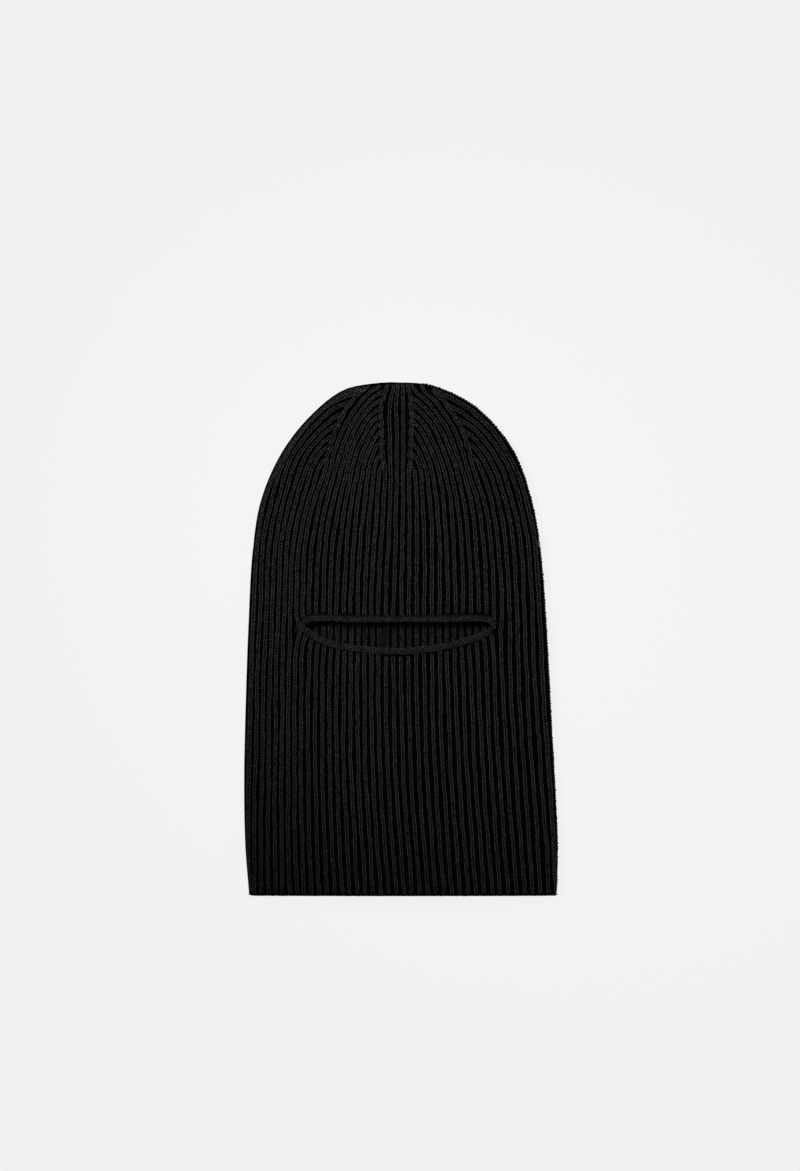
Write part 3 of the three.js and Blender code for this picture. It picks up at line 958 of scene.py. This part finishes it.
def face_line(plan, sink):
    """A plan curve laid on the front and sunk under it, in even steps, with the front's normals."""
    curve = smooth_curve(plan)
    lengths = lengths_along(curve)
    line = rows(np.arange(0, lengths[-1], STEP), lengths, curve)
    outer, normal = outer_face(line[:, 0], line[:, 1], 1)
    return outer - np.array([0, 0, sink]), normal


def round_tube(line, radius, sides=12, every=8):
    """A plain round tube along a line, as a block for tubes_mesh."""
    line = line[::every] if (len(line) - 1) % every == 0 else np.vstack([line[::every], line[-1:]])
    tangent = unit(np.gradient(line, axis=0))
    first = unit(np.cross(tangent, (0.02, 0.03, 1.0)))
    second = np.cross(tangent, first)
    return (line[:, None] + round_section(first, second, sides) * radius)[None]


def longer_ends(plan, extra=1.2):
    """The plan points with both ends moved out along the path, so that the bands meet."""
    points = np.array(plan, float)
    points[0] += unit(points[0] - points[1]) * extra
    points[-1] += unit(points[-1] - points[-2]) * extra
    return points


def trim_band(name, plan, radius, node, yarn, core):
    """A tubular jersey band: wales of stitches lie sideways round a core tube, whose near-black colour is
    painted shade inside the band.
    """
    line, normal = face_line(longer_ends(plan), HALF_FABRIC)
    tangent = unit(np.gradient(line, axis=0))
    normal = unit(normal - tangent * np.sum(normal * tangent, axis=1, keepdims=True))
    across = np.cross(tangent, normal)
    band_yarn, loop_height, wales, first_turn = 0.31, 0.62, 3, 0.25
    course, core_gap = 2.5, 0.3
    seat = radius - loop_height - band_yarn
    blocks = []
    room = np.full(len(line), np.pi * seat / wales)
    for number in range(wales):
        angle = 2 * np.pi * (number + first_turn) / wales
        way = np.cos(angle) * normal + np.sin(angle) * across
        wale = Wale(number, line + way * seat, way, room, room, np.full(len(line), course))
        wale.bend = seat
        blocks.append(wale_vertices(wale, TRIM_STITCH, 6, band_yarn, phase=0.1, jitter=0.6))
    # The core tube takes the near-black painted-shade material, standing for the shade inside the band.
    tube = tubes_mesh(name + "_core", [round_tube(line, seat - core_gap, 10)])
    dress(tube, core, "trim_yarn", node)
    return [dress(tubes_mesh(name, blocks), yarn, "trim_yarn", node), tube]


def linking_chain(name, plan, way, node, yarn):
    """The linking yarn that joins a band to the rib: a fine chain sunk in the groove between them."""
    curve = smooth_curve(plan)
    tangent = unit(np.gradient(curve, axis=0))
    beside = curve + np.stack([-tangent[:, 1], tangent[:, 0]], axis=1) * way * LINKING_SIDE
    sink, course, chain_yarn = 0.6, 2.4, 0.24
    line, normal = face_line(beside[::6], sink)
    wale = Wale(0, line, normal, course=np.full(len(line), course))
    blocks = [wale_vertices(wale, CHAIN_STITCH, 6, chain_yarn)]
    return dress(tubes_mesh(name, blocks), yarn, "linking_yarn", node)


def corner_tack(name, centre, node, yarn):
    """Thread wrapped round and round where the two bands meet at the eye opening's corner."""
    turns, steps, length, radius, thread = 5, 14, 3.6, 0.92, 0.32
    sink, core_half_length, core_radius = 1.1, 1.9, 0.7
    face, _ = outer_face(np.array([centre[0]]), np.array([centre[1]]), 1)
    turn = np.linspace(0, turns, turns * steps + 1)
    angle = 2 * np.pi * turn
    line = np.stack([
        centre[0] + radius * np.cos(angle),
        centre[1] + length * (turn / turns - 0.5),
        face[0, 2] - sink + radius * np.sin(angle),
    ], axis=1)
    along = np.linspace(-core_half_length, core_half_length, 9)
    core_line = np.array([[centre[0], centre[1] + t, face[0, 2] - sink] for t in along])
    blocks = [round_tube(line, thread, 7, 1), round_tube(core_line, core_radius, 8, 1)]
    return dress(tubes_mesh(name, blocks), yarn, "linking_yarn", node)


def hem_line():
    """The cloth's middle line round the neck edge, going left to right on the front and back again."""
    above_hem, past_fold = 0.15, 0.05
    y = HEM_Y + above_hem
    left, right = edge_x(y, False), edge_x(y, True)
    width = right - left
    arc = np.arange(past_fold, 2 * QUARTER_FOLD + width - 2 * FOLD_RADIUS, STEP)
    half = arc[-1] / 2
    inset = inset_of_arc(np.minimum(arc, arc[-1] - arc))
    x = np.where(arc < half, left + inset, right - inset)
    front, front_normal = outer_face(x, np.full(len(x), y), 1)
    back, back_normal = outer_face(x[::-1], np.full(len(x), y), -1)
    outer = np.vstack([front, back])
    normal = np.vstack([front_normal, back_normal])
    return outer - normal * HALF_FABRIC


def neck_bind_off(yarn):
    """The bound-off chain along the neck edge, facing down out of the garment."""
    course, chain_yarn = 2.7, 0.42
    line = hem_line()
    down = np.tile((0.0, -1.0, 0.0), (len(line), 1))
    wale = Wale(0, line, down, course=np.full(len(line), course))
    chain = wale_vertices(wale, JERSEY_STITCH, 6, chain_yarn, phase=0.1)
    return dress(tubes_mesh("neck_bind_off_chain", [chain]), yarn, "rib_yarn", "neck_bind_off")


def back_seam(yarn):
    """The linked seam: a tight chain in a groove outside and a raised double chain inside."""
    top_y, outside_sink, inside_rise = 183, 0.2, 1.7
    outside_yarn, inside_yarn, chain_room = 0.44, 0.36, 0.5
    y = np.arange(HEM_BAND, top_y, STEP)
    x = SEAM_X + 0.25 * np.sin(y / 23)
    outer, normal = outer_face(x, y, -1)
    outside = Wale(0, outer - normal * (HALF_FABRIC + outside_sink), normal)
    blocks = [wale_vertices(outside, JERSEY_STITCH, 5, outside_yarn, scale=0.9)]
    room = np.full(len(y), chain_room)
    for offset, phase in ((-0.95, 0.1), (0.95, 0.6)):
        outer, normal = outer_face(x + offset, y, -1)
        inside = Wale(0, outer - normal * (HALF_FABRIC + inside_rise), -normal, room, room)
        blocks.append(wale_vertices(inside, JERSEY_STITCH, 5, inside_yarn, scale=0.55, phase=phase))
    return dress(tubes_mesh("back_seam_chain", blocks), yarn, "linking_yarn", "back_seam")


def crown_draw_yarn(yarn):
    """The doubled, plied yarn that gathers the last stitches inside the crown."""
    low, high = (np.array(corner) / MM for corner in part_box("crown_draw_yarn"))
    loop_radius, yarn_radius, turns, turn_gap = 4.5, 0.8, 1.5, 0.3
    plies, ply_offset, ply_radius, twist_length = 3, 0.38, 0.40, 5.5
    centre_y = high[1] - loop_radius - yarn_radius
    level = low[2] + yarn_radius
    turn = np.linspace(0, turns, 120)
    angle = 2 * np.pi * turn
    core = np.stack([
        loop_radius * np.cos(angle),
        centre_y + loop_radius * np.sin(angle),
        level + (2 * yarn_radius + turn_gap) * turn,
    ], axis=1)
    tangent = unit(np.gradient(core, axis=0))
    across = unit(np.cross(tangent, (0, 0, 1.0)))
    up = np.cross(across, tangent)
    blocks = []
    for ply in range(plies):
        twist = 2 * np.pi * (ply / plies + lengths_along(core) / twist_length)
        offset = np.cos(twist)[:, None] * across + np.sin(twist)[:, None] * up
        blocks.append(round_tube(core + offset * ply_offset, ply_radius, 8, 1))
    return dress(tubes_mesh("crown_draw_yarn_plied", blocks), yarn, "linking_yarn", "crown_draw_yarn")


# ---- Studio ----

def camera_from_above():
    """Looks straight down; the picture spans 600 mm by 878 mm around the garment."""
    view_height, aim, distance = 0.87825, Vector((-0.00075, 0.03975, 0.018)), 6.0
    camera = bpy.data.cameras.new("camera")
    camera.sensor_fit = "VERTICAL"
    camera.sensor_height = 36
    camera.lens = camera.sensor_height * distance / view_height
    camera.clip_end = 20
    obj = bpy.data.objects.new("camera", camera)
    obj.location = aim + Vector((0, 0, distance))
    bpy.context.scene.collection.objects.link(obj)
    bpy.context.scene.camera = obj


def pale_floor():
    """A wide sheet of white paper that glows a little, like a light table."""
    half, below = 4.0, 0.0006
    corners = [(-half, -half, 0), (half, -half, 0), (half, half, 0), (-half, half, 0)]
    mesh = bpy.data.meshes.new("floor")
    mesh.from_pydata(corners, [], [(0, 1, 2, 3)])
    floor = bpy.data.objects.new("floor", mesh)
    floor.location.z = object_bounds()[0][2] - below
    bpy.context.scene.collection.objects.link(floor)
    material = bpy.data.materials.new("floor_paper")
    material.use_nodes = True
    shader = material.node_tree.nodes["Principled BSDF"]
    shader.inputs["Base Color"].default_value = (0.04, 0.04, 0.0402, 1)
    shader.inputs["Roughness"].default_value = 0.9
    shader.inputs["Specular IOR Level"].default_value = 0.1
    shader.inputs["Emission Color"].default_value = (1, 1, 1, 1)
    shader.inputs["Emission Strength"].default_value = 0.86
    mesh.materials.append(material)


def soft_light():
    """A white dome and a wide fill, with a soft lamp over the face that fades towards the neck."""
    aim, towards_lamp, distance = Vector((0.065, 0.055, 0)), Vector((-0.45, 0.25, 0.857)), 1.5
    scene = bpy.context.scene
    world = bpy.data.worlds.new("dome")
    world.use_nodes = True
    world.node_tree.nodes["Background"].inputs["Color"].default_value = (1, 1, 1, 1)
    world.node_tree.nodes["Background"].inputs["Strength"].default_value = 0.22
    scene.world = world
    fill = bpy.data.lights.new("fill", "SUN")
    fill.energy = 0.3
    fill.angle = 0.45
    lamp = bpy.data.objects.new("fill", fill)
    lamp.rotation_euler = Euler((np.radians(15), np.radians(50), 0))
    scene.collection.objects.link(lamp)
    key = bpy.data.lights.new("key", "SPOT")
    key.energy = 88
    key.spot_size = np.radians(28.5)
    key.spot_blend = 1.0
    key.shadow_soft_size = 0.12
    lamp = bpy.data.objects.new("key", key)
    lamp.location = aim + towards_lamp * distance
    lamp.rotation_euler = towards_lamp.to_track_quat("Z", "Y").to_euler()
    scene.collection.objects.link(lamp)
    scene.view_settings.view_transform = "Standard"


# ---- Assembly ----

camera_from_above()
rib_yarn = yarn_material("rib_yarn", (0.011, 0.011, 0.0111), (0.050, 0.050, 0.0505))
# Same yarn as the rib, made darker: painted shade on the inner face inside the garment.
inner_painted_shade_yarn = yarn_material("inner_rib_painted_shade_yarn", (0.008, 0.008, 0.0081), (0.042, 0.042, 0.0425))
trim_yarn = yarn_material("trim_yarn", (0.008, 0.008, 0.0081), (0.048, 0.048, 0.0485))
# Same yarn as the rib, made darker: painted shade on the neck edge's bound-off chain, which faces down.
neck_edge_painted_shade_yarn = yarn_material("neck_edge_painted_shade_yarn", (0.004, 0.004, 0.004), (0.012, 0.012, 0.012))
thread = yarn_material("linking_yarn", (0.005, 0.005, 0.005), (0.011, 0.011, 0.011))

rib = rib_pieces(rib_yarn)
rib += inner_rib_pieces(inner_painted_shade_yarn)
# Near-black painted shade: the backing sheet under the ribs, and the core tubes inside the eye bands.
shade = backing_painted_shade_material()
ground = backing_painted_shade_sheet(shade)
trims = [
    *trim_band("upper_eye_band", UPPER_TRIM, UPPER_TRIM_RADIUS, "upper_eye_trim", trim_yarn, shade),
    *trim_band("lower_eye_band", LOWER_TRIM, LOWER_TRIM_RADIUS, "lower_eye_trim", trim_yarn, shade),
    linking_chain("upper_band_linking", UPPER_TRIM, 1, "upper_trim_linking", thread),
    linking_chain("lower_band_linking", LOWER_TRIM, -1, "lower_trim_linking", thread),
    corner_tack("left_corner_wrap", LEFT_TACK, "left_corner_tack", thread),
    corner_tack("right_corner_wrap", RIGHT_TACK, "right_corner_tack", thread),
    neck_bind_off(neck_edge_painted_shade_yarn),
    back_seam(thread),
    crown_draw_yarn(thread),
]
pale_floor()
soft_light()
